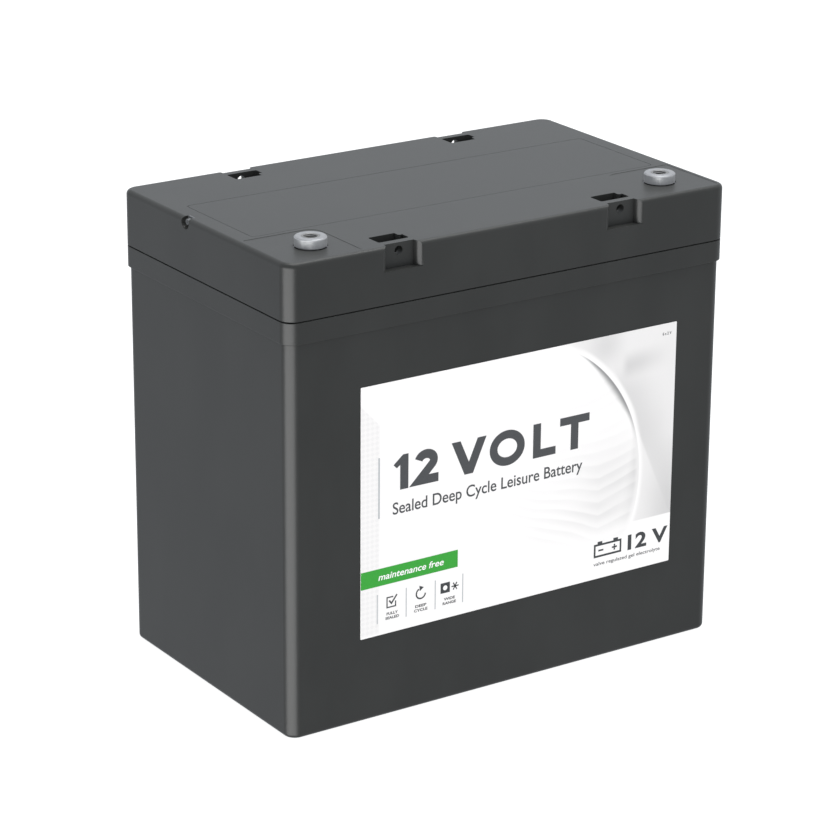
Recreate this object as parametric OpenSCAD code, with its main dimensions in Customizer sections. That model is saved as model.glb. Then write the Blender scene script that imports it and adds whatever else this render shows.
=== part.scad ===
// Twelve volt gel deep cycle battery: a six-cell container, a sealed lid with
// handle pockets, a lift-off vent cover over six safety valves, and two screw
// terminals. Millimetres, +Z up. The origin is the middle of the underside, +X
// runs along the long side, and the label is on the -Y face.

/* [Overall] */
// Length over the lid and the container rim
length = 229; // [227:0.5:232]
// Width over the lid and the container rim
width = 138; // [137:0.5:140]
// Height of the flat top of the lid
cover_z = 213; // [212:0.5:216]
// Height of the joint between the container and the lid
seam_z = 187.5; // [186:0.5:188.5]
// Radius of the upright corners
corner_r = 6.25; // [4.5:0.25:6.5]

/* [Container] */
// Height at which the thicker rim of the container begins
rim_z = 178; // [174:0.5:180]
// How far the rim stands out past the side walls
rim_step = 1.05; // [0.8:0.05:1.4]
// Thickness of the side walls
wall = 3; // [2.6:0.1:3.2]
// Thickness of the floor
floor_t = 3.5; // [3:0.25:4.5]
// Thickness of the partitions between the cells
partition_t = 2; // [1.8:0.1:2.2]
// Rounding along the bottom edges
base_round = 2; // [1:0.25:3]

/* [Lid] */
// Thickness of the flat deck
deck_t = 3; // [2.6:0.1:3.2]
// Thickness of the skirt around the lid
skirt_t = 3.2; // [2.8:0.1:3.6]
// Rounding along the top edges
top_round = 2.2; // [0.8:0.1:3]
// Height of the groove that shows at the joint
seam_gap = 0.5; // [0.3:0.1:0.8]
// Depth of the groove at the joint
seam_depth = 1; // [0.6:0.1:1.4]

/* [Handle pockets] */
// Distance of each pocket from the middle along X
pocket_x = 57.6; // [56:0.2:60]
// Distance of the outer edge of each slot from the middle along Y
slot_edge_y = 61.7; // [61:0.1:62.5]
// Length of each slot
slot_l = 15.2; // [15:0.2:17]
// Width of each slot
slot_w = 8.5; // [8:0.25:9.5]
// Height of the pocket floors and of the ledges below the outer recesses
pocket_z = 202.2; // [202:0.2:205]
// Length of each recess in the side of the lid
recess_l = 14.8; // [14:0.2:18]
// Depth of each recess
recess_d = 3.8; // [3:0.1:4]
// Diameter of the hole for a handle cord
handle_hole_d = 4; // [3:0.25:4.25]
// Height of that hole
handle_hole_z = 209.5; // [208.8:0.1:209.8]

/* [Vent] */
// Length of the vent cover
cover_l = 210; // [206:0.5:212]
// Width of the vent cover
cover_w = 54.8; // [52:0.2:56]
// Thickness of the vent cover
cover_t = 2.5; // [2:0.1:2.8]
// Distance of the vent cover from the middle along Y
cover_y = 1; // [0:0.25:2]
// Gap around the vent cover
cover_gap = 0.2; // [0.15:0.05:0.4]
// Distance of the vent port from the middle along Y
port_y = 13.3; // [10:0.1:16]
// Height of the vent port
port_z = 211; // [210.8:0.1:211.5]
// Diameter of the vent port
port_d = 6.2; // [5.6:0.1:6.6]
// Depth of the vent port
port_depth = 4; // [3.5:0.25:4.5]

/* [Terminals] */
// Distance of each terminal from the middle along X
terminal_x = 91; // [90.5:0.1:93]
// Distance of each terminal from the middle along Y, towards the label
terminal_y = 49.6; // [49:0.1:52]
// Diameter of the terminal buttons
button_d = 13.9; // [13:0.1:15]
// Height of the terminals above the lid
button_rise = 4.3; // [4:0.1:6]
// Inner diameter of the M6 thread in each terminal
thread_d = 5; // [4.8:0.05:5.1]
// Usable depth of the thread
thread_depth = 10; // [8:0.5:11]

/* [Label] */
// Length of the front label
label_l = 167; // [150:1:190]
// Height of the front label
label_h = 114.5; // [90:0.5:130]
// Distance of the label's centre from the middle along X
label_x = 5.4; // [0:0.1:10]
// Height of the label's centre
label_z = 96.2; // [80:0.1:105]
// Radius of the label's corners
label_r = 0.4; // [0.2:0.1:4]
// Thickness of the label
label_t = 0.3; // [0.2:0.05:0.4]

/* [Cells] */
// Thickness of a positive plate
positive_t = 3.3; // [3:0.05:3.4]
// Thickness of a negative plate
negative_t = 2.2; // [2:0.05:2.3]
// Thickness of a separator
separator_t = 1.15; // [1:0.05:1.2]
// Width of the plates
plate_w = 124; // [116:1:125]
// Height of the lower edge of the plates
plate_low_z = 8; // [7:0.5:10]
// Height of the upper edge of the plates
plate_high_z = 152; // [140:1:154]
// Distance of the plate straps from the middle along Y
strap_y = 47; // [46.5:0.1:47.5]

/* [Hidden] */
CELLS = 6;
POSITIVES = 4;
NEGATIVES = 5;
ROUND = 48;
SHELL_FN = 32;

case_colour = "#3f4042";
lid_colour = "#46484a";
lead_colour = "#8d9094";
silver_colour = "#b9bbbd";
brass_colour = "#b5a04c";
positive_colour = "#5b3a2c";
negative_colour = "#6f7378";
rubber_colour = "#1c1c1d";

// Inside of the container
body_l = length - 2 * rim_step;
body_w = width - 2 * rim_step;
inside_l = body_l - 2 * wall;
inside_w = body_w - 2 * wall;
cell_l = (inside_l - (CELLS - 1) * partition_t) / CELLS;
cell_pitch = cell_l + partition_t;

// Inside of the lid
lid_inside_l = length - 2 * skirt_t;
lid_inside_w = width - 2 * skirt_t;
deck_under_z = cover_z - deck_t;
shell_t = 2;

// Valve trough below the vent cover
ledge_w = 4;
cover_corner_r = 2;
ledge_z = cover_z - cover_t;
trough_l = cover_l - 2 * ledge_w;
trough_w = cover_w - 2 * ledge_w;
trough_floor_z = cover_z - 14;
trough_under_z = trough_floor_z - shell_t;

// Safety valves: a stem in the trough and a rubber cap over it
stem_d = 10;
stem_bore_d = 6;
stem_top_z = trough_floor_z + 7.4;
cap_d = 14;
cap_gap = 0.3;
cap_low_z = trough_floor_z + 1.4;
cap_top_z = stem_top_z + 2.4;
cap_seat_gap = 0.05;

// Snap pegs under the vent cover
peg_d = 4;
peg_gap = 0.3;
peg_l = 6;
peg_boss_d = 9;
peg_x = trough_l / 2 - peg_boss_d / 2 + 0.5;
peg_y = trough_w / 2 - peg_boss_d / 2 + 0.5;

// Vent port in the end of the lid
port_floor_x = -length / 2 + port_depth;
channel_d = 1.6;
channel_z = port_z - 2.5;
channel_drop_x = port_floor_x + 2.4;
arrestor_d = 5.6;
arrestor_t = 2;
arrestor_z = channel_z - 2;
seat_wall = 0.9;
fit_gap = 0.05;
port_block_w = 10;
port_block_low_z = 204;

// Terminals
post_d = 11;
foot_d = 10;
insert_d = 8;
insert_l = thread_depth + 1.5;
terminal_top_z = cover_z + button_rise;
button_low_z = cover_z - 0.1;
seal_top_z = cover_z - 0.4;
well_d = button_d + 0.8;
well_floor_z = cover_z - 11;
well_floor_t = 2;
well_wall = 2.5;
gasket_t = 2;

// Shallow terminal pads in the two front corners
pad_depth = 0.1;
pad_edge_x = 76;
pad_edge_y = 29;
pad_margin = 3.5;
pad_r = 6;

// Handle pockets
pocket_wall = 2;
slot_r = 1;
mouth_r = recess_d - 0.2;
rib_w = 2.2;
rib_reach = 3.4;
rib_offset = (slot_l - rib_w) / 2 + 0.2;

// Plate groups
lug_w = 12;
strap_w = 19;
strap_low_z = 164;
strap_t = 6;
upstand_t = 4;
upstand_w = 14;
weld_d = 9;
strap_top_z = strap_low_z + strap_t;
weld_z = strap_top_z + 7;
upstand_top_z = weld_z + 6;
stack_t = POSITIVES * positive_t + NEGATIVES * negative_t + (POSITIVES + NEGATIVES - 1) * separator_t;
separator_margin = 1;
gel_top_z = plate_high_z + 8;

function cell_x(cell) = (cell - (CELLS + 1) / 2) * cell_pitch;

// Strap side of a cell: -1 is the label side, +1 is the far side
function positive_side(cell) = cell % 2 == 1 ? -1 : 1;

// Middle of plate number k, counted from the -X side of the stack
function plate_x(k) = -stack_t / 2 + negative_t / 2
  + k * (positive_t + negative_t) / 2 + k * separator_t;

function arc(centre, r, from, to, steps) = [
  for (i = [0:steps]) centre + r * [cos(from + (to - from) * i / steps), sin(from + (to - from) * i / steps)]
];

function rounded_rectangle(l, w, r) = concat(
  arc([l / 2 - r, w / 2 - r], r, 0, 90, 5),
  arc([-l / 2 + r, w / 2 - r], r, 90, 180, 5),
  arc([-l / 2 + r, -w / 2 + r], r, 180, 270, 5),
  arc([l / 2 - r, -w / 2 + r], r, 270, 360, 5)
);

// ---- Shared shapes ----

// Upright corner post whose lower and upper edges are rounded
module corner_post(r, low_z, high_z, low_r, high_r) {
  translate([0, 0, low_z]) rotate_extrude($fn = SHELL_FN) {
    polygon(concat(
      [[0, 0]],
      arc([r - low_r, low_r], low_r, -90, 0, 5),
      arc([r - high_r, high_z - low_z - high_r], high_r, 0, 90, 5),
      [[0, high_z - low_z]]
    ));
  }
}

// Block with rounded upright corners and rounded lower and upper edges
module rounded_block(l, w, low_z, high_z, r, low_r, high_r) {
  hull() {
    for (side_x = [-1, 1], side_y = [-1, 1]) {
      translate([side_x * (l / 2 - r), side_y * (w / 2 - r), 0]) {
        corner_post(r, low_z, high_z, low_r, high_r);
      }
    }
  }
}

// Block from one height to another, centred in X and Y
module slab(l, w, low_z, high_z) {
  translate([-l / 2, -w / 2, low_z]) cube([l, w, high_z - low_z]);
}

module rod(d, low_z, high_z) {
  translate([0, 0, low_z]) cylinder(d = d, h = high_z - low_z, $fn = ROUND);
}

// Rod along X between two places
module rod_x(d, from_x, to_x) {
  translate([from_x, 0, 0]) rotate([0, 90, 0]) cylinder(d = d, h = to_x - from_x, $fn = ROUND);
}

// One copy for each cell, at its place along X
module at_cells() {
  for (cell = [1:CELLS]) translate([cell_x(cell), 0, 0]) children();
}

// ---- Container ----

module case() {
  color(case_colour) difference() {
    union() {
      rounded_block(body_l, body_w, 0, rim_z + 1, corner_r - rim_step / 2, base_round, 0.2);
      rounded_block(length, width, rim_z, seam_z, corner_r, 0.3, 0.2);
    }
    at_cells() slab(cell_l, inside_w, floor_t, seam_z + 1);
    for (joint = [1:CELLS - 1]) {
      translate([cell_x(joint) + cell_pitch / 2, weld_side(joint) * strap_y, weld_z]) {
        rod_x(weld_d, -partition_t, partition_t);
      }
    }
  }
}

// Side on which cell number `joint` is welded to the next one
function weld_side(joint) = -positive_side(joint);

// ---- Lid ----

module at_pockets() {
  for (side_x = [-1, 1], side_y = [-1, 1]) {
    translate([side_x * pocket_x, 0, 0]) mirror([0, side_y < 0 ? 0 : 1, 0]) children();
  }
}

module at_terminals() {
  for (side_x = [-1, 1]) translate([side_x * terminal_x, -terminal_y, 0]) children();
}

module at_pegs() {
  for (side_x = [-1, 1], side_y = [-1, 1]) {
    translate([side_x * peg_x, cover_y + side_y * peg_y, 0]) children();
  }
}

// Outline of a side recess: y = 0 is the lid's outer face and +y goes into the lid
function recess_outline() = concat(
  [[-recess_l / 2 - mouth_r, -1]],
  arc([-recess_l / 2 - mouth_r, mouth_r - 0.1], mouth_r, -85, 0, 8),
  [[-recess_l / 2, recess_d], [recess_l / 2, recess_d]],
  arc([recess_l / 2 + mouth_r, mouth_r - 0.1], mouth_r, 180, 265, 8),
  [[recess_l / 2 + mouth_r, -1]]
);

module pocket_cut() {
  slot_y = -slot_edge_y + slot_w / 2;
  difference() {
    translate([0, slot_y, pocket_z]) {
      linear_extrude(cover_z) polygon(rounded_rectangle(slot_l, slot_w, slot_r));
    }
    translate([rib_offset, slot_y + slot_w / 2, 0]) {
      slab(rib_w, 2 * (rib_reach - rib_w / 2), pocket_z - 1, cover_z + 1);
      translate([0, rib_w / 2 - rib_reach, 0]) rod(rib_w, pocket_z - 1, cover_z + 1);
    }
  }
  translate([0, -width / 2, pocket_z]) linear_extrude(cover_z) polygon(recess_outline());
  translate([0, -width / 2 + recess_d / 2, handle_hole_z]) rotate([-90, 0, 0]) {
    cylinder(d = handle_hole_d, h = slot_w / 2 + recess_d, $fn = ROUND);
  }
}

// Walls that close each pocket off from the cells
module pocket_shell() {
  depth = width / 2 - slot_edge_y + slot_w + pocket_wall - skirt_t / 2;
  translate([0, -width / 2 + skirt_t / 2 + depth / 2, 0]) {
    slab(max(recess_l, slot_l) + 2 * pocket_wall, depth, pocket_z - pocket_wall, deck_under_z + 0.5);
  }
}

// Low corner area around a terminal, with a rounded inner corner
module pad_outline() {
  far_x = length / 2 - pad_margin;
  far_y = width / 2 - pad_margin;
  polygon(concat(
    arc([pad_edge_x + pad_r, -pad_edge_y - pad_r], pad_r, 90, 180, 6),
    [[pad_edge_x, -far_y], [far_x, -far_y], [far_x, -pad_edge_y]]
  ));
}

module vent_path_cut() {
  translate([0, port_y, port_z]) rod_x(port_d, -length / 2 - 1, port_floor_x);
  translate([0, port_y, port_z]) rod_x(channel_d, port_floor_x - 1, channel_drop_x);
  translate([channel_drop_x, port_y, 0]) rod(channel_d, channel_z, port_z);
  translate([0, port_y, channel_z]) rod_x(channel_d, channel_drop_x, -trough_l / 2 + 0.5);
}

module lid_solid() {
  union() {
    difference() {
      union() {
        rounded_block(length, width, seam_z + seam_gap, cover_z, corner_r, 0.2, top_round);
        slab(length - 2 * corner_r, width - 2 * seam_depth, seam_z, seam_z + seam_gap + 1);
        slab(length - 2 * seam_depth, width - 2 * corner_r, seam_z, seam_z + seam_gap + 1);
      }
      slab(lid_inside_l, lid_inside_w, seam_z - 1, deck_under_z);
    }
    for (joint = [1:CELLS - 1]) {
      translate([cell_x(joint) + cell_pitch / 2, 0, 0]) {
        slab(partition_t, lid_inside_w + 1, seam_z, deck_under_z + 0.5);
      }
    }
    translate([0, cover_y, 0]) {
      slab(trough_l + 2 * shell_t, trough_w + 2 * shell_t, trough_under_z, deck_under_z + 0.5);
    }
    at_pockets() pocket_shell();
    at_terminals() rod(well_d + 2 * well_wall, well_floor_z - well_floor_t, deck_under_z + 0.5);
    translate([-(length - skirt_t + trough_l) / 4, port_y, 0]) {
      slab((length - skirt_t - trough_l) / 2, port_block_w, port_block_low_z, deck_under_z + 0.5);
    }
  }
}

module lid() {
  color(lid_colour) union() {
    difference() {
      lid_solid();
      translate([0, cover_y, ledge_z]) {
        seat_l = cover_l + 2 * cover_gap;
        seat_w = cover_w + 2 * cover_gap;
        linear_extrude(cover_z) polygon(rounded_rectangle(seat_l, seat_w, cover_corner_r));
      }
      translate([0, cover_y, 0]) slab(trough_l, trough_w, trough_floor_z, cover_z + 1);
      at_pockets() pocket_cut();
      for (side_x = [0, 1]) mirror([side_x, 0, 0]) {
        translate([0, 0, cover_z - pad_depth]) linear_extrude(cover_z) pad_outline();
      }
      at_terminals() rod(well_d, well_floor_z, cover_z + 1);
      at_terminals() rod(foot_d + 0.6, well_floor_z - well_floor_t - 1, cover_z);
      translate([0, cover_y, 0]) at_cells() rod(stem_bore_d, trough_under_z - 1, cover_z);
      vent_path_cut();
    }
    translate([0, cover_y, 0]) at_cells() difference() {
      rod(stem_d, trough_floor_z - 0.5, stem_top_z);
      rod(stem_bore_d, trough_floor_z - 1, stem_top_z + 1);
    }
    at_pegs() difference() {
      rod(peg_boss_d, trough_floor_z - 0.5, ledge_z);
      rod(peg_d + 2 * peg_gap, ledge_z - peg_l - 1, ledge_z + 1);
    }
    translate([0, port_y, arrestor_z]) difference() {
      rod_x(arrestor_d + 2 * seat_wall, -trough_l / 2 - 0.5, -trough_l / 2 + arrestor_t);
      rod_x(arrestor_d + 2 * fit_gap, -trough_l / 2, -trough_l / 2 + arrestor_t + 1);
      translate([0, 0, channel_z - arrestor_z]) rod_x(channel_d, -trough_l / 2 - 1, -trough_l / 2 + 1);
    }
  }
}

module vent_cover() {
  color(lid_colour) union() {
    translate([0, cover_y, ledge_z]) {
      linear_extrude(cover_t) polygon(rounded_rectangle(cover_l, cover_w, cover_corner_r - cover_gap));
    }
    at_pegs() rod(peg_d, ledge_z - peg_l, ledge_z + 0.5);
  }
}

module valve_cap(cell) {
  color(rubber_colour) translate([cell_x(cell), cover_y, 0]) difference() {
    rod(cap_d, cap_low_z, cap_top_z);
    rod(stem_d + 2 * cap_gap, cap_low_z - 1, stem_top_z + cap_seat_gap);
  }
}

module flame_arrestor() {
  color("#a5a39b") translate([0, port_y, arrestor_z]) {
    rod_x(arrestor_d, -trough_l / 2, -trough_l / 2 + arrestor_t);
  }
}

// Nozzle at the bottom of the vent port
module vent_nozzle() {
  nozzle_d = 2.6;
  flange_t = 1;
  tip_x = -length / 2 + 1;
  color("#6c6e70") translate([0, port_y, port_z]) difference() {
    union() {
      intersection() {
        rod_x(port_d - 2 * fit_gap, port_floor_x - flange_t, port_floor_x);
        translate([port_floor_x, 0, -port_d]) slab(3 * flange_t, port_d, 0, port_d + cover_z - port_z);
      }
      rod_x(nozzle_d, tip_x, port_floor_x);
    }
    rod_x(channel_d / 2, tip_x - 1, port_floor_x + 1);
  }
}

// ---- Terminals ----

// Lead alloy terminal: a round button, a neck through the lid and a foot on the strap
module terminal(side_x) {
  bevel = 0.5;
  low_bevel = 0.3;
  radius = button_d / 2;
  color(silver_colour) translate([side_x * terminal_x, -terminal_y, 0]) difference() {
    rotate_extrude($fn = 2 * ROUND) {
      polygon([
        [0, strap_top_z],
        [foot_d / 2, strap_top_z],
        [foot_d / 2, well_floor_z],
        [post_d / 2, well_floor_z],
        [post_d / 2, button_low_z],
        [radius - low_bevel, button_low_z],
        [radius, button_low_z + low_bevel],
        [radius, terminal_top_z - bevel],
        [radius - bevel, terminal_top_z],
        [0, terminal_top_z]
      ]);
    }
    rod(insert_d, terminal_top_z - insert_l, terminal_top_z + 1);
  }
}

// Threaded insert, drawn at the inner diameter of its thread
module terminal_insert(side_x) {
  mouth = 0.5;
  radius = insert_d / 2 - fit_gap;
  color(brass_colour) translate([side_x * terminal_x, -terminal_y, 0]) {
    rotate_extrude($fn = 2 * ROUND) {
      polygon([
        [0, terminal_top_z - insert_l],
        [radius, terminal_top_z - insert_l],
        [radius, terminal_top_z],
        [thread_d / 2 + mouth, terminal_top_z],
        [thread_d / 2, terminal_top_z - mouth],
        [thread_d / 2, terminal_top_z - thread_depth - mouth],
        [0, terminal_top_z - thread_depth - mouth]
      ]);
    }
  }
}

module terminal_ring(side_x, low_z, high_z) {
  translate([side_x * terminal_x, -terminal_y, 0]) difference() {
    rod(well_d - 2 * fit_gap, low_z, high_z);
    rod(post_d + 2 * fit_gap, low_z - 1, high_z + 1);
  }
}

// Cast resin that locks the terminal into the lid
module terminal_seal(side_x) {
  color(rubber_colour) terminal_ring(side_x, well_floor_z + gasket_t, seal_top_z);
}

module terminal_gasket(side_x) {
  color(rubber_colour) terminal_ring(side_x, well_floor_z, well_floor_z + gasket_t);
}

// ---- Label ----

module front_label() {
  color("white") translate([label_x, -body_w / 2, label_z]) rotate([90, 0, 0]) {
    linear_extrude(label_t) polygon(rounded_rectangle(label_l, label_h, label_r));
  }
}

// ---- Cells ----

// Plates on one strap: `kind` is 0 for negative plates and 1 for positive ones
module plate_group(cell, kind, thickness, side) {
  first = kind;
  last = POSITIVES + NEGATIVES - 1 - kind;
  strap_l = plate_x(last) - plate_x(first) + thickness;
  // +1 where the strap is joined to the next cell, -1 to the one before, 0 to a terminal
  link = kind == 1 ? (cell > 1 ? -1 : 0) : (cell < CELLS ? 1 : 0);
  translate([cell_x(cell), 0, 0]) union() {
    for (k = [first:2:last]) translate([plate_x(k), 0, 0]) {
      slab(thickness, plate_w, plate_low_z, plate_high_z);
      translate([0, side * strap_y, 0]) slab(thickness, lug_w, plate_high_z - 0.5, strap_low_z + 0.5);
    }
    translate([0, side * strap_y, 0]) slab(strap_l, strap_w, strap_low_z, strap_top_z);
    if (link != 0) {
      reach = (cell_l - strap_l) / 2 + 0.5;
      translate([link * (cell_l - reach) / 2, side * strap_y, 0]) {
        slab(reach, upstand_w, strap_low_z, strap_top_z);
      }
      translate([link * (cell_l / 2 - upstand_t / 2), side * strap_y, 0]) {
        slab(upstand_t, upstand_w, strap_low_z, upstand_top_z);
      }
    }
  }
}

module cell_positive_plates(cell) {
  color(positive_colour) plate_group(cell, 1, positive_t, positive_side(cell));
}

module cell_negative_plates(cell) {
  color(negative_colour) plate_group(cell, 0, negative_t, -positive_side(cell));
}

module cell_separators(cell) {
  gap_to_plate = (negative_t + separator_t) / 2;
  color("#d8d6cc") translate([cell_x(cell), 0, 0]) {
    for (k = [0:2:POSITIVES + NEGATIVES - 1], side = [-1, 1]) {
      if (abs(plate_x(k) + side * gap_to_plate) < stack_t / 2) {
        translate([plate_x(k) + side * gap_to_plate, 0, 0]) {
          slab(separator_t, plate_w + 2 * separator_margin, plate_low_z - separator_margin, plate_high_z + 2);
        }
      }
    }
  }
}

// Gelled acid below, beside and above the plate stack
module cell_gel(cell) {
  stack_w = plate_w + 2 * separator_margin;
  color("#c9cdd0") translate([cell_x(cell), 0, 0]) difference() {
    slab(cell_l, inside_w, floor_t, gel_top_z);
    slab(stack_t, stack_w, plate_low_z - separator_margin, plate_high_z + 2);
    for (side = [-1, 1]) translate([0, side * strap_y, 0]) {
      slab(stack_t, lug_w + 1, plate_high_z, gel_top_z + 1);
    }
  }
}

module intercell_weld(joint) {
  color(lead_colour) translate([cell_x(joint) + cell_pitch / 2, weld_side(joint) * strap_y, weld_z]) {
    rod_x(weld_d - 2 * fit_gap, -partition_t / 2, partition_t / 2);
  }
}

// ---- Assembly ----

case();
lid();
vent_cover();
front_label();
flame_arrestor();
vent_nozzle();
terminal(-1);  // terminal_positive
terminal(1);  // terminal_negative
terminal_insert(-1);  // terminal_positive_insert
terminal_insert(1);  // terminal_negative_insert
terminal_seal(-1);  // terminal_positive_seal
terminal_seal(1);  // terminal_negative_seal
terminal_gasket(-1);  // terminal_positive_gasket
terminal_gasket(1);  // terminal_negative_gasket
for (cell = [1:CELLS]) {
  valve_cap(cell);
  cell_positive_plates(cell);
  cell_negative_plates(cell);
  cell_separators(cell);
  cell_gel(cell);
}
for (joint = [1:CELLS - 1]) {
  intercell_weld(joint);
}
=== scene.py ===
"""Looks of a twelve volt gel deep cycle battery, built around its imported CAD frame.

Lengths that belong to the object are written in millimetres and turned into metres by MM.
"""

import math

import bmesh
import bpy
from mathutils import Matrix, Vector


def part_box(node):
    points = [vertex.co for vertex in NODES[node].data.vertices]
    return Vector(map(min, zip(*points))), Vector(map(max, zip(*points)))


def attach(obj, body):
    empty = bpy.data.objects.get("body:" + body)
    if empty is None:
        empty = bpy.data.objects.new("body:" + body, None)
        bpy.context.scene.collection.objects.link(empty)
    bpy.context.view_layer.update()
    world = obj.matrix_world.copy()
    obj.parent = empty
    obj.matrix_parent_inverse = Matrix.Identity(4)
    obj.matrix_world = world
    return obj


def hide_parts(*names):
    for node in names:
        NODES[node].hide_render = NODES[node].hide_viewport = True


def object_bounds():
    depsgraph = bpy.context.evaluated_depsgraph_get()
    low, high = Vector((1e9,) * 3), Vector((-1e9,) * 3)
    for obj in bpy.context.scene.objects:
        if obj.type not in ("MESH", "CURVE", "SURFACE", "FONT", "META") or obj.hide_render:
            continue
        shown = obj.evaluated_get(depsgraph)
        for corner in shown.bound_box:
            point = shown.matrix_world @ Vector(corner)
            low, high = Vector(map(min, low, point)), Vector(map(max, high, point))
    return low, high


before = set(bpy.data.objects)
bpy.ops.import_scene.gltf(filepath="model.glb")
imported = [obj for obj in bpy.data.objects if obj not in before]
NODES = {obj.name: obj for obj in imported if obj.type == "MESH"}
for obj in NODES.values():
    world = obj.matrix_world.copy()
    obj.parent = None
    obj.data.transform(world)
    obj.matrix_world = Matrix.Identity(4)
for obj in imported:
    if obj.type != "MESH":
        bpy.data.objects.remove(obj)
cad_low, cad_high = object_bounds()

MM = 0.001

POLES = ("positive", "negative")
LABEL_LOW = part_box("front_label")[0]
INSERT_LOW, INSERT_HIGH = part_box("terminal_negative_insert")
TERMINAL_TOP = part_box("terminal_negative")[1].z
CELL_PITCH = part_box("valve_cap_2")[0].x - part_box("valve_cap_1")[0].x


# ---- Numbers and colours that vary over a surface ----


class Field:
    """A number that varies over a surface: the output of a shader node, with arithmetic."""

    def __init__(self, tree, socket):
        self.tree = tree
        self.socket = socket

    def calc(self, operation, *others):
        node = self.tree.nodes.new("ShaderNodeMath")
        node.operation = operation
        for place, value in zip(node.inputs, (self, *others)):
            plug(self.tree, place, value)
        return Field(self.tree, node.outputs[0])

    def __add__(self, other):
        return self.calc("ADD", other)

    def __sub__(self, other):
        return self.calc("SUBTRACT", other)

    def __mul__(self, other):
        return self.calc("MULTIPLY", other)

    def __truediv__(self, other):
        return self.calc("DIVIDE", other)

    def __rsub__(self, other):
        return self * -1 + other

    def __abs__(self):
        return self.calc("ABSOLUTE")

    def fade(self, start, end):
        """0 at start and 1 at end, with a soft change between them."""
        node = self.tree.nodes.new("ShaderNodeMapRange")
        node.interpolation_type = "SMOOTHSTEP"
        for place, value in zip(node.inputs, (self, start, end, 0.0, 1.0)):
            plug(self.tree, place, value)
        return Field(self.tree, node.outputs[0])

    def bell(self, middle, spread):
        """1 at middle, falling to 0 at spread on both sides."""
        return abs(self - middle).fade(spread, 0.0)


def plug(tree, place, value):
    """Sets an input to a number, or joins it to a Field's output."""
    if isinstance(value, Field):
        tree.links.new(value.socket, place)
    else:
        place.default_value = value


class Paint:
    """A Principled material, and the fields that its surface is painted with.

    A setting is a shader socket, such as coat_weight for Coat Weight.
    """

    def __init__(self, name, colour, roughness, **settings):
        self.material = bpy.data.materials.new(name)
        self.material.use_nodes = True
        self.material.diffuse_color = (*colour, 1)
        self.tree = self.material.node_tree
        self.shader = self.tree.nodes["Principled BSDF"]
        self.set("Base Color", (*colour, 1))
        self.set("Roughness", roughness)
        for key, value in settings.items():
            self.set(key.replace("_", " ").title().replace("Ior", "IOR"), value)
        self.place = self.node("TexCoord").outputs["Object"]

    def node(self, kind, **settings):
        new = self.tree.nodes.new("ShaderNode" + kind)
        for key, value in settings.items():
            setattr(new, key, value)
        return new

    def set(self, socket, value):
        plug(self.tree, self.shader.inputs[socket], value)

    def field(self, socket):
        return Field(self.tree, socket)

    def axes(self):
        """The three coordinates of the surface, in millimetres."""
        split = self.node("SeparateXYZ")
        self.tree.links.new(self.place, split.inputs[0])
        return [self.field(out) / MM for out in split.outputs]

    def stretched(self, factors):
        """The place on the surface, each axis times its factor: below 1 stretches a pattern."""
        if factors is None:
            return self.place
        node = self.node("VectorMath", operation="MULTIPLY")
        self.tree.links.new(self.place, node.inputs[0])
        node.inputs[1].default_value = factors
        return node.outputs[0]

    def noise(self, size, detail=2.0, stretch=None):
        """Cloudy noise around 0.5 whose features are about size millimetres wide."""
        node = self.node("TexNoise")
        self.tree.links.new(self.stretched(stretch), node.inputs["Vector"])
        node.inputs["Scale"].default_value = 1 / (size * MM)
        node.inputs["Detail"].default_value = detail
        return self.field(node.outputs[0])

    def cells(self, size, feature="F1", output="Distance"):
        """Voronoi cells about size millimetres wide."""
        node = self.node("TexVoronoi", feature=feature)
        self.tree.links.new(self.place, node.inputs["Vector"])
        node.inputs["Scale"].default_value = 1 / (size * MM)
        return self.field(node.outputs[output])

    def colours(self, share, first, second):
        """Paints the surface from first, where share is 0, to second, where it is 1."""
        mix = self.node("Mix", data_type="RGBA")
        plug(self.tree, mix.inputs[0], share)
        mix.inputs[6].default_value = (*first, 1)
        mix.inputs[7].default_value = (*second, 1)
        self.tree.links.new(mix.outputs[2], self.shader.inputs["Base Color"])

    def relief(self, height, depth):
        """Bumps the surface by height, a field from 0 to 1, times depth in millimetres."""
        bump = self.node("Bump")
        bump.inputs["Strength"].default_value = 1.0
        bump.inputs["Distance"].default_value = depth * MM
        self.tree.links.new(height.socket, bump.inputs["Height"])
        self.tree.links.new(bump.outputs[0], self.shader.inputs["Normal"])


def linear(*levels):
    """A colour from its 0 to 255 display levels."""
    return tuple(((v / 255 + 0.055) / 1.055) ** 2.4 if v > 10 else v / 255 / 12.92 for v in levels)


# ---- Materials ----

PAPER = (0.94, 0.91, 0.88)
PLASTIC = (0.0262, 0.0268, 0.0252)
# The terminal's end colour is a darker copy of its side colour: painted shade on its flat top, against the
# light from above.
TERMINAL_SIDE, TERMINAL_END_SHADED = (0.39, 0.393, 0.393), (0.2, 0.203, 0.208)
INSERT_SIDE, INSERT_END = (0.11, 0.11, 0.108), (0.17, 0.169, 0.166)


def moulded_plastic(name, sink_lines):
    """Dark moulded plastic: a fine grain, faint flow clouds and, if wanted, partition sink lines."""
    paint = Paint(name, PLASTIC, 0.38, IOR=1.46, specular_ior_level=0.19)
    fine = paint.noise(0.35, 3.0)
    clouds = paint.noise(26, 3.0, stretch=(1.0, 1.0, 0.5))
    lighter = tuple(1.25 * c for c in PLASTIC)
    paint.colours(clouds.fade(0.3, 0.75) * 0.6 + fine * 0.25, PLASTIC, lighter)
    paint.set("Roughness", clouds * 0.05 + fine * 0.04 + 0.335)
    height = fine * 0.25
    if sink_lines:
        # The five partitions stand at whole numbers of pitches from the middle
        pitches = paint.axes()[0] / (CELL_PITCH / MM)
        to_partition = abs(pitches - pitches.calc("ROUND"))
        height = height - to_partition.fade(0.09, 0.0) * 0.12
    paint.relief(height, 0.1)
    return paint.material


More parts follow.
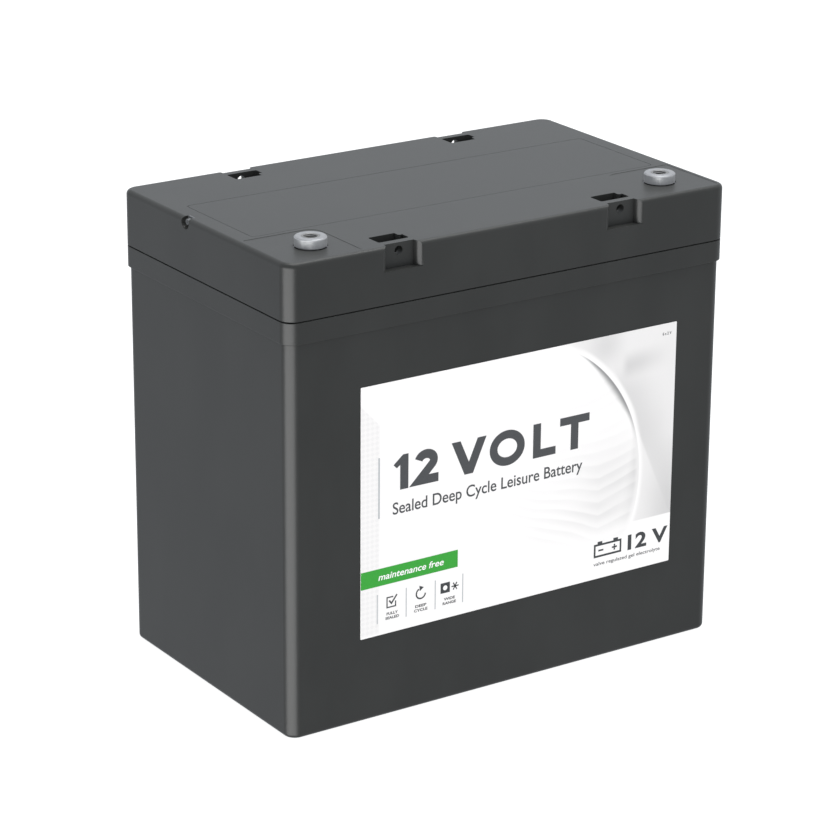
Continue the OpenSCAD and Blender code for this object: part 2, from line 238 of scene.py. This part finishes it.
# The label's artwork, in millimetres from its lower left corner
CURVE_CENTRE = (76.6, 47.4)
CURVE_RADIUS = 71.6
FAN_POINT = (-16.0, 75.0)
RIB_DEGREES = 2.12
DEGREES = 180 / math.pi


def curve_shade(outside, turn):
    """The dark crescent along the inside of the big curve, and the light rim outside it."""
    width = turn.bell(36.0, 25.0) * 3.7 + turn.fade(24.0, -6.0) * 8.0 + 0.5
    depth_in = (outside * -1) / width
    crescent = depth_in.fade(1.0, 0.0) * outside.fade(0.3, -0.1)
    crescent = crescent * turn.fade(61.0, 50.0) * (turn.fade(10.0, 30.0) * 0.8 + turn.fade(-30.0, 0.0) * 0.2)
    rim = outside.bell(1.6, 2.0) * turn.fade(12.0, 26.0) * turn.fade(64.0, 54.0)
    return crescent, rim


def rib_shade(paint, across, up, outside, wander):
    """Ribs that fan out from a point past the left end, and the grey hollow that they cross.

    The lower ribs bend up near the curve.
    """
    low = up.fade(64.0, 40.0)
    bend = (across - 126.0).calc("MAXIMUM", 0.0) * (low * 0.42 + 0.1)
    sweep = (across - 92.0).calc("MAXIMUM", 0.0)
    lift = bend + sweep * sweep * (1 - low) * 0.0022
    fan = (up - FAN_POINT[1] - lift + wander * 3.4).calc("ARCTAN2", across - FAN_POINT[0]) * DEGREES
    step = (fan / RIB_DEGREES).calc("FRACT")
    rib = step.fade(0.0, 0.8) * step.fade(1.0, 0.8)
    inside = outside.fade(0.0, -3.0)
    rib_area = inside * (across - up * 0.35).fade(30.0, 100.0) * up.fade(12.0, 34.0) * up.fade(112.0, 84.0)
    patchy = paint.noise(16.0, 1.0, stretch=(0.5, 1.0, 1.0)).fade(0.3, 0.62) * 0.65 + 0.35
    ribs = rib * rib_area * patchy * (low * 0.6 + 0.4) * (across.fade(60.0, 130.0) * 0.6 + 0.4)
    hollow = inside * up.fade(78.0, 44.0) * up.fade(16.0, 34.0) * across.fade(96.0, 138.0)
    return ribs * 0.1 + hollow * 0.11


def fold_shade(across, up, outside, wander):
    """Grey folds outside the curve, which end in a straight line above the bottom margin."""
    area = outside.fade(0.2, 3.0) * up.fade(23.2, 24.0) * across.fade(100.0, 116.0)
    past_fold = across - 142.8 + (up - 76.3) * 0.445
    fold = past_fold.fade(-0.8, 0.8) * past_fold.fade(26.0, 0.0) * up.fade(104.0, 84.0)
    fold = fold * (up.fade(30.0, 62.0) * 0.11 + 0.03) + 0.15
    corner = up.fade(66.0, 26.0) * across.fade(146.0, 166.0) * 0.17
    near_top = up.bell(110.0, 14.0) * across.bell(128.0, 14.0) * 0.13
    crease = (up - across * 0.06).bell(90.5, 8.0) * 0.16
    crease = crease * across.fade(136.0, 141.0) * across.fade(168.0, 142.0)
    return area * (fold + corner + near_top + crease + wander * 0.05)


def strip_shade(across, up):
    """A strip of small lozenges along the left edge."""
    strip = across.fade(9.7, 9.3) * (up + across * 1.05).fade(106.8, 105.6) * up.fade(0.6, 1.2)
    lozenge = (across * 1.35 + up * 1.35).calc("SINE") * (across * 1.35 - up * 1.35).calc("SINE")
    return strip * (lozenge.fade(-0.2, 0.3) * 0.05 + 0.06)


def label_film():
    """Printed white film with a clear laminate, and its grey artwork."""
    paint = Paint("label_print", PAPER, 0.3, IOR=1.5, coat_weight=0.25, coat_roughness=0.12)
    x, _, z = paint.axes()
    across = x - LABEL_LOW.x / MM
    up = z - LABEL_LOW.z / MM

    # The big curve, as a distance outside its circle and an angle round it in degrees
    from_x = across - CURVE_CENTRE[0]
    from_z = up - CURVE_CENTRE[1]
    outside = (from_x * from_x + from_z * from_z).calc("SQRT") - CURVE_RADIUS
    turn = from_z.calc("ARCTAN2", from_x) * DEGREES

    wander = paint.noise(24.0, 1.0) - 0.5
    crescent, rim = curve_shade(outside, turn)
    dark = crescent * 0.72 + rib_shade(paint, across, up, outside, wander)
    dark = dark + fold_shade(across, up, outside, wander) * (1 - rim * 0.8)
    dark = dark + strip_shade(across, up) + paint.noise(0.9, 2.0) * 0.01
    paint.colours(dark, PAPER, (0.0, 0.004, 0.008))
    waves = paint.noise(14, 2.0)
    paint.set("Roughness", waves * 0.08 + 0.26)
    paint.relief(waves * 0.6 + paint.noise(1.3, 2.0) * 0.1, 0.05)
    return paint.material


def ink(name, colour):
    """Printed ink, as glossy as the laminate over it and a little uneven."""
    paint = Paint(name, colour, 0.34, IOR=1.5, coat_weight=0.2, coat_roughness=0.15)
    grain = paint.noise(0.5, 3.0)
    paint.colours(grain.fade(0.35, 0.8), colour, tuple(min(1.0, 1.12 * c + 0.004) for c in colour))
    paint.set("Roughness", grain * 0.12 + 0.28)
    paint.relief(paint.noise(1.3, 2.0), 0.01)
    return paint.material


def turned_metal(name, side, end, roughness, groove, metallic):
    """Lathe-turned metal with rings groove millimetres apart and light scratches.

    side is the colour of the round sides, and end that of the flat top. On the terminal the darker end
    colour is painted shade on its flat top, against the light from above.
    """
    paint = Paint(name, side, roughness, metallic=metallic)
    x, y, z = paint.axes()
    top = TERMINAL_TOP / MM
    end_face = z.fade(top - 0.6, top - 0.1)
    axis_x, axis_y = [(INSERT_LOW[i] + INSERT_HIGH[i]) / 2 / MM for i in (0, 1)]
    off_x = abs(x) - abs(axis_x)
    off_y = y - axis_y
    radius = (off_x * off_x + off_y * off_y).calc("SQRT")
    rings = ((radius + z * 0.8) * (2 * math.pi / groove)).calc("SINE") * 0.5 + 0.5
    mottle = paint.noise(1.6, 4.0)
    scratches = paint.noise(0.5, 2.0, stretch=(0.12, 1.0, 1.0))
    # On the terminal, end_face paints the flat top darker: painted shade against the light from above.
    paint.colours(end_face * 0.85 + mottle.fade(0.35, 0.75) * 0.15, side, end)
    paint.set("Roughness", mottle * 0.14 + scratches * 0.1 + (roughness - 0.12))
    paint.relief(rings * 0.5 + scratches * 0.4 + mottle * 0.3, 0.02)
    return paint.material


def sealing_resin():
    """Black cast resin with a slightly sunken, glossy, uneven surface."""
    paint = Paint("sealing_resin", (0.012, 0.012, 0.013), 0.25, IOR=1.55)
    pool = paint.noise(3.0, 2.0)
    specks = paint.cells(0.9)
    paint.colours(specks.fade(0.1, 0.5), (0.02, 0.02, 0.021), (0.011, 0.011, 0.012))
    paint.set("Roughness", pool * 0.25 + 0.12)
    paint.relief(pool + specks * 0.1, 0.12)
    return paint.material


def rubber():
    """Matt black rubber with moulding dust."""
    paint = Paint("valve_rubber", (0.014, 0.014, 0.015), 0.72, IOR=1.5)
    bloom = paint.noise(4.0, 4.0)
    grain = paint.noise(0.25, 3.0)
    paint.colours(bloom.fade(0.45, 0.8) * 0.7, (0.013, 0.013, 0.014), (0.045, 0.045, 0.044))
    paint.set("Roughness", bloom * 0.15 + 0.62)
    paint.relief(grain + bloom * 0.4, 0.03)
    return paint.material


def porous_plastic():
    """Sintered plastic: pale beads fused together, with painted shade in the pores between them."""
    paint = Paint("porous_plastic", (0.62, 0.6, 0.55), 0.8)
    beads = paint.cells(0.22)
    # The gaps between beads are painted darker: painted shade in the pores.
    paint.colours(beads.fade(0.1, 0.6), (0.68, 0.66, 0.6), (0.3, 0.28, 0.25))
    paint.set("Roughness", beads * 0.2 + 0.7)
    paint.relief(1 - beads, 0.1)
    return paint.material


def nozzle_plastic():
    """Grey moulded plastic, a little lighter than the lid."""
    paint = Paint("nozzle_plastic", (0.09, 0.093, 0.096), 0.5, specular_ior_level=0.1)
    grain = paint.noise(0.3, 2.0)
    paint.colours(grain, (0.08, 0.083, 0.085), (0.11, 0.113, 0.116))
    paint.set("Roughness", grain * 0.15 + 0.36)
    paint.relief(grain, 0.01)
    return paint.material


GRID_PITCH_Y, GRID_PITCH_Z = 6.0, 4.0


def plate(name, dark, light, grain_size):
    """Pasted lead plate: a porous paste over the lines of its grid."""
    paint = Paint(name, light, 0.85)
    _, y, z = paint.axes()
    across = (y / GRID_PITCH_Y + 0.5).calc("FRACT").bell(0.5, 0.09)
    up = (z / GRID_PITCH_Z + 0.5).calc("FRACT").bell(0.5, 0.12)
    grid = across.calc("MAXIMUM", up)
    grain = paint.noise(grain_size, 5.0)
    pits = paint.cells(grain_size * 1.4)
    paint.colours(grain.fade(0.3, 0.7), dark, light)
    paint.set("Roughness", grain * 0.2 + 0.72)
    paint.relief(grain * 0.5 + pits * 0.3 + grid * 0.6, 0.15)
    return paint.material


def separator_mat():
    """Pale fibre mat."""
    paint = Paint("separator_mat", (0.72, 0.71, 0.66), 0.9)
    fibres = paint.noise(0.5, 4.0, stretch=(1.0, 1.0, 0.15))
    strands = paint.noise(0.4, 3.0, stretch=(1.0, 0.12, 1.0))
    paint.colours((fibres + strands) * 0.5, (0.55, 0.54, 0.5), (0.82, 0.81, 0.77))
    paint.set("Roughness", fibres * 0.1 + 0.85)
    paint.relief(fibres + strands, 0.06)
    return paint.material


def acid_gel():
    """Set silica gel: milky, glossy, with drying cracks."""
    paint = Paint("acid_gel", (0.66, 0.7, 0.72), 0.22, IOR=1.38)
    paint.set("Subsurface Weight", 0.3)
    paint.set("Subsurface Scale", 2 * MM)
    cracks = paint.cells(9.0, feature="DISTANCE_TO_EDGE")
    cloud = paint.noise(5.0, 3.0)
    paint.colours(cloud.fade(0.3, 0.8), (0.6, 0.65, 0.68), (0.75, 0.78, 0.79))
    paint.set("Roughness", cloud * 0.2 + 0.15)
    paint.relief(cracks.fade(0.0, 0.05) * 0.6 + cloud * 0.3, 0.3)
    return paint.material


def lead_alloy():
    """Cast lead: dull, with a crystalline bloom."""
    paint = Paint("lead_alloy", (0.3, 0.31, 0.33), 0.5, metallic=1.0)
    crystals = paint.cells(2.2, output="Color")
    cloud = paint.noise(3.0, 4.0)
    paint.colours(cloud.fade(0.3, 0.75), (0.34, 0.35, 0.37), (0.22, 0.23, 0.25))
    paint.set("Roughness", crystals * 0.15 + cloud * 0.2 + 0.35)
    paint.relief(cloud + crystals * 0.3, 0.08)
    return paint.material


materials = {
    "container_plastic": moulded_plastic("container_plastic", sink_lines=True),
    "lid_plastic": moulded_plastic("lid_plastic", sink_lines=False),
    "label_print": label_film(),
    "porous_plastic": porous_plastic(),
    "nozzle_plastic": nozzle_plastic(),
    "terminal_metal": turned_metal("terminal_metal", TERMINAL_SIDE, TERMINAL_END_SHADED, 0.42, 0.28, 0.5),
    "insert_brass": turned_metal("insert_brass", INSERT_SIDE, INSERT_END, 0.5, 0.2, 0.4),
    "sealing_resin": sealing_resin(),
    "valve_rubber": rubber(),
    "positive_plate": plate("positive_plate", (0.045, 0.022, 0.012), (0.12, 0.06, 0.035), 1.1),
    "negative_plate": plate("negative_plate", (0.11, 0.12, 0.13), (0.22, 0.23, 0.24), 0.8),
    "separator_mat": separator_mat(),
    "acid_gel": acid_gel(),
    "lead_alloy": lead_alloy(),
}


# ---- CAD nodes ----


# How far a node's edges are rounded, in millimetres, and in how many segments
EDGE = (0.15, 2)
EDGES = {
    "case": (0.2, 2),
    "lid": (0.12, 2),
    "vent_cover": (0.03, 1),
    "front_label": (0.08, 1),
}
SAME_POINT = 0.001
FLAT_DEGREES = 0.6
EDGE_DEGREES = 35


def soften(piece, width, segments):
    """Rounds the edges of a CAD node by width millimetres and evens out its shading."""
    join = piece.modifiers.new("join", "WELD")
    join.merge_threshold = SAME_POINT * MM
    flat = piece.modifiers.new("flat", "DECIMATE")
    flat.decimate_type = "DISSOLVE"
    flat.angle_limit = math.radians(FLAT_DEGREES)
    edge = piece.modifiers.new("edge", "BEVEL")
    edge.width = width * MM
    edge.segments = segments
    edge.limit_method = "ANGLE"
    edge.angle_limit = math.radians(EDGE_DEGREES)
    edge.use_clamp_overlap = True
    even = piece.modifiers.new("even", "WEIGHTED_NORMAL")
    even.weight = 80
    even.keep_sharp = False


for name, piece in NODES.items():
    slot = piece.material_slots[0]
    slot_name = slot.material.name
    slot.link = "OBJECT"
    slot.material = materials[slot_name]
    soften(piece, *EDGES.get(name, EDGE))


# ---- Threaded inserts ----

# The hole and its M6 thread, in millimetres. CREST is a share of half a pitch.
MINOR_RADIUS, MAJOR_RADIUS = 2.5, 3.0
THREAD_PITCH = 1.0
CREST = 0.12
MOUTH = 0.25
THREAD_DEPTH, RUN_OUT = 10.5, 1.5
HOLE_DEPTH, POINT_DEPTH = 11.0, 0.4
CHAMFER = 0.12
AROUND = 72
ROWS_PER_PITCH = 12


def thread_radius(z, turn, top):
    """Radius of the threaded hole at height z and angle turn, given as a share of a full turn."""
    phase = (z / THREAD_PITCH - turn) % 1.0
    tooth = min(1.0, max(0.0, (abs(phase - 0.5) * 2 - CREST) / (1 - 2 * CREST)))
    flank = MINOR_RADIUS + (MAJOR_RADIUS - MINOR_RADIUS) * (1 - tooth)
    mouth = MAJOR_RADIUS + MOUTH - (top - z)
    run_out = min(1.0, max(0.0, (z - top + THREAD_DEPTH) / RUN_OUT))
    return max(MINOR_RADIUS + (flank - MINOR_RADIUS) * run_out, mouth)


def insert_rings(outer, base, top):
    """Rings of (radius, height) from the bush's foot, up its outside and down its threaded hole."""
    rings = [
        [(outer, base)] * AROUND,
        [(outer, top - CHAMFER)] * AROUND,
        [(outer - CHAMFER, top)] * AROUND,
    ]
    for row in range(int(HOLE_DEPTH * ROWS_PER_PITCH / THREAD_PITCH) + 1):
        z = top - row * THREAD_PITCH / ROWS_PER_PITCH
        rings.append([(thread_radius(z, k / AROUND, top), z) for k in range(AROUND)])
    return rings


def threaded_insert(pole):
    """Metal bush with a real M6 thread in place of the CAD node's plain hole."""
    node = f"terminal_{pole}_insert"
    low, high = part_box(node)
    centre = (low + high) / 2
    top = high.z / MM
    mesh = bmesh.new()
    loops = []
    for ring in insert_rings((high.x - low.x) / 2 / MM, low.z / MM, top):
        loop = []
        for k, (radius, z) in enumerate(ring):
            angle = 2 * math.pi * k / AROUND
            loop.append(mesh.verts.new((radius * math.cos(angle), radius * math.sin(angle), z)))
        loops.append(loop)
    for upper, lower in zip(loops, loops[1:]):
        for k in range(AROUND):
            j = (k + 1) % AROUND
            mesh.faces.new((upper[k], upper[j], lower[j], lower[k]))
    mesh.faces.new(loops[0][::-1])
    tip = mesh.verts.new((0, 0, top - HOLE_DEPTH - POINT_DEPTH))
    for k in range(AROUND):
        mesh.faces.new((loops[-1][k], loops[-1][(k + 1) % AROUND], tip))
    bmesh.ops.recalc_face_normals(mesh, faces=mesh.faces)
    for face in mesh.faces:
        face.smooth = True
    data = bpy.data.meshes.new(f"threaded_insert_{pole}")
    mesh.to_mesh(data)
    mesh.free()
    data.transform(Matrix.Translation((centre.x, centre.y, 0)) @ Matrix.Scale(MM, 4))
    data.materials.append(materials["insert_brass"])
    piece = bpy.data.objects.new(data.name, data)
    bpy.context.scene.collection.objects.link(piece)
    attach(piece, "battery")
    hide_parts(node)


for pole in POLES:
    threaded_insert(pole)


# ---- Print on the label ----

# CAP_SHARE is a capital's height as a share of the font's size
INK_THICKNESS = 0.03
CAP_SHARE = 0.729

grey = ink("grey_ink", linear(54, 55, 56))
dark = ink("dark_ink", linear(36, 38, 39))
green = ink("green_ink", (0.006, 0.315, 0.004))
white = ink("white_ink", PAPER)
pale = ink("pale_ink", linear(176, 178, 179))


def arc(centre, radius, start, end, steps, flatten=1.0):
    """Points on an arc, in degrees from start to end, its height times flatten."""
    turns = [math.radians(start + (end - start) * i / steps) for i in range(steps + 1)]
    return [(centre[0] + radius * math.cos(t), centre[1] + flatten * radius * math.sin(t)) for t in turns]


def box_loop(left, bottom, right, top):
    return [(left, bottom), (right, bottom), (right, top), (left, top)]


SHARPEST_MITRE = 0.35


def stroke(points, width):
    """Outline of an open line of that width, with square ends and mitred corners."""
    sides = ([], [])
    for i, point in enumerate(points):
        before = Vector(point) - Vector(points[max(i - 1, 0)])
        after = Vector(points[min(i + 1, len(points) - 1)]) - Vector(point)
        before = before.normalized() if before.length else after.normalized()
        after = after.normalized() if after.length else before
        across = Vector((-(before + after).y, (before + after).x)).normalized()
        reach = width / 2 / max(SHARPEST_MITRE, across.dot(Vector((-before.y, before.x))))
        sides[0].append(tuple(Vector(point) + across * reach))
        sides[1].append(tuple(Vector(point) - across * reach))
    return sides[0] + sides[1][::-1]


def printed(name, loops, paint, layer=0):
    """A print of closed loops on the label, in millimetres from its lower left corner.

    A loop inside another is a hole.
    """
    data = bpy.data.curves.new(name, "CURVE")
    data.dimensions = "2D"
    data.fill_mode = "BOTH"
    data.extrude = INK_THICKNESS / 2 * MM
    for loop in loops:
        line = data.splines.new("POLY")
        line.points.add(len(loop) - 1)
        for point, (x, y) in zip(line.points, loop):
            point.co = (x * MM, y * MM, 0, 1)
        line.use_cyclic_u = True
    lay_on_label(name, data, (0, 0), paint, layer)


def words(name, text, left, bottom, cap_height, paint, length=None, bold=0.0, lean=0.0, layer=0):
    """Words on the label, placed like printed(). length is how far they reach along the label."""
    data = bpy.data.curves.new(name, "FONT")
    data.body = text
    data.size = cap_height * MM / CAP_SHARE
    data.extrude = INK_THICKNESS / 2 * MM
    data.offset = bold * MM
    data.shear = lean
    lay_on_label(name, data, (left, bottom), paint, layer, length)


def lay_on_label(name, data, corner, paint, layer, length=None):
    """Turns a flat curve into a thin mesh on the label's face."""
    shape = bpy.data.objects.new(name + "_line", data)
    bpy.context.scene.collection.objects.link(shape)
    bpy.context.view_layer.update()
    made = bpy.data.meshes.new_from_object(shape.evaluated_get(bpy.context.evaluated_depsgraph_get()))
    bpy.data.objects.remove(shape)
    bpy.data.curves.remove(data)
    if length:
        spread = [vertex.co.x for vertex in made.vertices]
        made.transform(Matrix.Translation((-min(spread), 0, 0)))
        made.transform(Matrix.Diagonal((length * MM / (max(spread) - min(spread)), 1, 1, 1)))
    face = LABEL_LOW.y - INK_THICKNESS * (0.5 + layer) * MM
    origin = Vector((LABEL_LOW.x + corner[0] * MM, face, LABEL_LOW.z + corner[1] * MM))
    made.transform(Matrix.Translation(origin) @ Matrix.Rotation(math.pi / 2, 4, "X"))
    made.name = name
    solid = bmesh.new()
    solid.from_mesh(made)
    bmesh.ops.remove_doubles(solid, verts=solid.verts, dist=1e-7)
    bmesh.ops.recalc_face_normals(solid, faces=solid.faces)
    solid.to_mesh(made)
    solid.free()
    made.materials.clear()
    made.materials.append(paint)
    piece = bpy.data.objects.new(name, made)
    bpy.context.scene.collection.objects.link(piece)
    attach(piece, "battery")


def heading():
    """The words 12 VOLT in heavy capitals."""
    base, cap, heavy, bar = 65.0, 15.8, 4.1, 3.7
    top, half = base + cap, heavy / 2
    one, two, letter_v, letter_l, letter_t = 16.5, 27.2, 46.3, 89.4, 103.8
    loops = [[
        (one, top - 4.0), (one + 1.7, top - 5.7), (one + 3.4, top - 4.5), (one + 3.4, base),
        (one + 7.6, base), (one + 7.6, top), (one + 4.8, top),
    ]]
    bowl = arc((two + 6.0, top - 5.2), 6.0 - half, 165, -36, 20, flatten=0.8)
    foot = [(two + 2.3, base + heavy * 0.52), (two + 12.4, base + half)]
    loops.append(stroke([*bowl, *foot], heavy))
    loops.append([
        (letter_v, top), (letter_v + 4.6, top), (letter_v + 9.1, base + 5.6), (letter_v + 13.6, top),
        (letter_v + 18.2, top), (letter_v + 11.3, base), (letter_v + 6.9, base),
    ])
    centre, radius = (75.6, base + cap / 2), 9.3
    loops.append(arc(centre, radius, 0, 360, 48, flatten=0.88)[:-1])
    loops.append(arc(centre, radius - heavy, 0, 360, 48, flatten=0.82)[:-1])
    loops.append([
        (letter_l, base), (letter_l + 12.2, base), (letter_l + 12.2, base + bar),
        (letter_l + heavy, base + bar), (letter_l + heavy, top), (letter_l, top),
    ])
    right, stem = letter_t + 16.0, letter_t + 8.0 - half
    loops.append([
        (stem, base), (stem + heavy, base), (stem + heavy, top - bar), (right, top - bar),
        (right, top), (letter_t, top), (letter_t, top - bar), (stem, top - bar),
    ])
    printed("label_heading", loops, grey)


def side_lines():
    """Thin upright lines: one beside the heading and four between the symbols."""
    printed("label_side_line", [box_loop(8.8, 54.0, 9.6, 81.5)], pale)
    lines = [box_loop(x - 0.25, 5.5, x + 0.25, 19.0) for x in (8.5, 23.4, 38.5, 53.0)]
    printed("label_dividers", lines, pale)


def symbols():
    """Tick in a box, round arrow, and warm and cold signs."""
    tick_box = [(17.9, 14.4), (17.9, 12.0), (13.5, 12.0), (13.5, 16.6), (16.7, 16.6)]
    loops = [stroke(tick_box, 0.6)]
    loops.append(stroke([(14.6, 15.1), (15.8, 13.6), (18.6, 17.2)], 0.75))
    arrow = (31.0, 14.7)
    ring = arc(arrow, 2.35, 5, 245, 24)
    loops.append(stroke([(x, 2 * arrow[1] - y) for x, y in ring], 0.7))
    loops.append([(30.2, 18.4), (30.4, 15.8), (32.5, 17.4)])
    loops.append(box_loop(41.3, 12.0, 46.2, 16.8))
    loops.append(arc((43.75, 14.4), 1.15, 0, 360, 24)[:-1])
    star, reach = (48.9, 14.2), 1.9
    for turn in (0, 60, 120):
        dx = reach * math.cos(math.radians(turn))
        dy = reach * math.sin(math.radians(turn))
        loops.append(stroke([(star[0] - dx, star[1] - dy), (star[0] + dx, star[1] + dy)], 0.55))
    printed("label_symbols", loops, dark)


def battery_sign():
    """Outline of a battery with its plus and minus, beside its voltage."""
    left, low, right, high, line = 124.2, 10.3, 139.6, 16.7, 0.95
    loops = [box_loop(left, low, right, high)]
    loops.append(box_loop(left + line, low + line, right - line, high - line))
    for x in (left + 2.0, right - 4.6):
        loops.append(box_loop(x, high, x + 2.6, high + 1.1))
    minus_x, plus_x = left + 3.9, right - 3.9
    for x in (minus_x, plus_x):
        loops.append(box_loop(x - 1.4, 13.1, x + 1.4, 13.9))
    loops.append(box_loop(plus_x - 0.4, 13.95, plus_x + 0.4, 14.9))
    loops.append(box_loop(plus_x - 0.4, 12.1, plus_x + 0.4, 13.05))
    printed("label_battery_sign", loops, dark)


CAPTIONS = ((16.2, "FULLY", "SEALED"), (31.0, "DEEP", "CYCLE"), (46.0, "WIDE", "RANGE"))

heading()
side_lines()
words(
    "label_subtitle", "Sealed Deep Cycle Leisure Battery", 16.2, 54.3, 5.6, grey,
    length=100.3, bold=0.07,
)
printed("label_band", [box_loop(0.05, 22.9, 50.2, 30.9)], green)
words(
    "label_band_words", "maintenance free", 9.0, 25.5, 3.1, white,
    length=33.8, bold=0.05, lean=0.2, layer=1,
)
symbols()
for number, (centre, upper, lower) in enumerate(CAPTIONS, 1):
    words(f"label_caption_{number}a", upper, centre - 2.9, 8.45, 1.25, dark, length=5.8, bold=0.05)
    words(f"label_caption_{number}b", lower, centre - 3.5, 6.45, 1.25, dark, length=7.0, bold=0.05)
battery_sign()
words("label_voltage", "12 V", 143.2, 10.4, 7.2, dark, length=22.5, bold=0.3)
words(
    "label_small_print", "valve regulated gel electrolyte", 124.2, 6.4, 1.7, grey,
    length=37.4, bold=0.02,
)
words("label_corner_note", "6 x 2 V", 159.2, 109.2, 1.4, grey, length=4.9, bold=0.03)


# ---- Studio ----

# The floor and the lights are in metres, and the camera's place in millimetres
SKY = (0.955, 1.0, 1.07)
SKY_LEVEL = 0.96
FLOOR = (0.17, 0.17, 0.17)
FLOOR_GLOW = 0.93
FLOOR_HALF_WIDTH = 6.0
TOP_LIGHT = {"size": (1.2, 1.2), "brightness": 7.2, "turn": 250, "height": 78, "away": 1.6}
SHEEN = {"size": (2.3, 1.2), "brightness": 10.5, "turn": 60, "height": -20, "away": 1.5}


def area_light(name, size, brightness, turn, height, away):
    """Soft rectangular light that faces the battery, away metres from its middle.

    turn is its bearing from -Y towards -X and height its angle above the horizon, in degrees.
    """
    light = bpy.data.lights.new(name, "AREA")
    light.shape = "RECTANGLE"
    light.size, light.size_y = size
    light.energy = brightness * math.pi * size[0] * size[1]
    piece = bpy.data.objects.new(name, light)
    turn, height = math.radians(turn), math.radians(height)
    back = Vector((-math.sin(turn) * math.cos(height), -math.cos(turn) * math.cos(height), math.sin(height)))
    piece.location = (cad_low + cad_high) / 2 + back * away
    piece.rotation_euler = back.to_track_quat("Z", "Y").to_euler()
    piece.visible_camera = False
    bpy.context.scene.collection.objects.link(piece)
    return piece


def studio():
    """Pale surroundings, a pale floor and a soft light above.

    A broad light low at the near left shows only as a sheen, and shines through the floor.
    """
    world = bpy.data.worlds.new("studio")
    world.use_nodes = True
    sky = world.node_tree.nodes["Background"]
    sky.inputs["Color"].default_value = (*SKY, 1)
    sky.inputs["Strength"].default_value = SKY_LEVEL
    bpy.context.scene.world = world
    bpy.context.scene.view_settings.view_transform = "Standard"

    floor = bmesh.new()
    bmesh.ops.create_grid(floor, x_segments=1, y_segments=1, size=FLOOR_HALF_WIDTH)
    data = bpy.data.meshes.new("floor")
    floor.to_mesh(data)
    floor.free()
    paint = Paint("floor", FLOOR, 0.9, specular_ior_level=0.0)
    paint.set("Emission Color", (1, 1, 1, 1))
    paint.set("Emission Strength", FLOOR_GLOW)
    data.materials.append(paint.material)
    floor_piece = bpy.data.objects.new("floor", data)
    bpy.context.scene.collection.objects.link(floor_piece)
    floor_piece.visible_glossy = False
    floor_piece.visible_shadow = False

    area_light("top_light", **TOP_LIGHT)
    sheen = area_light("sheen", **SHEEN)
    sheen.visible_diffuse = False


SENSOR_WIDTH, FOCAL_LENGTH = 36.0, 141.676
CAMERA_PLACE = (-785.581, -1161.279, 609.768)
CAMERA_TURN, CAMERA_DIP, CAMERA_ROLL = -34.002, 19.858, 0.460


def camera():
    """Long lens, from the front left and slightly above."""
    data = bpy.data.cameras.new("camera")
    data.sensor_width = SENSOR_WIDTH
    data.lens = FOCAL_LENGTH
    data.clip_start, data.clip_end = 0.1, 50.0
    piece = bpy.data.objects.new("camera", data)
    turn = Matrix.Rotation(math.radians(CAMERA_TURN), 4, "Z")
    tilt = Matrix.Rotation(math.radians(90 - CAMERA_DIP), 4, "X")
    roll = Matrix.Rotation(math.radians(CAMERA_ROLL), 4, "Z")
    place = Matrix.Translation(Vector(CAMERA_PLACE) * MM)
    piece.matrix_world = place @ turn @ tilt @ roll
    bpy.context.scene.collection.objects.link(piece)
    bpy.context.scene.camera = piece


studio()
camera()
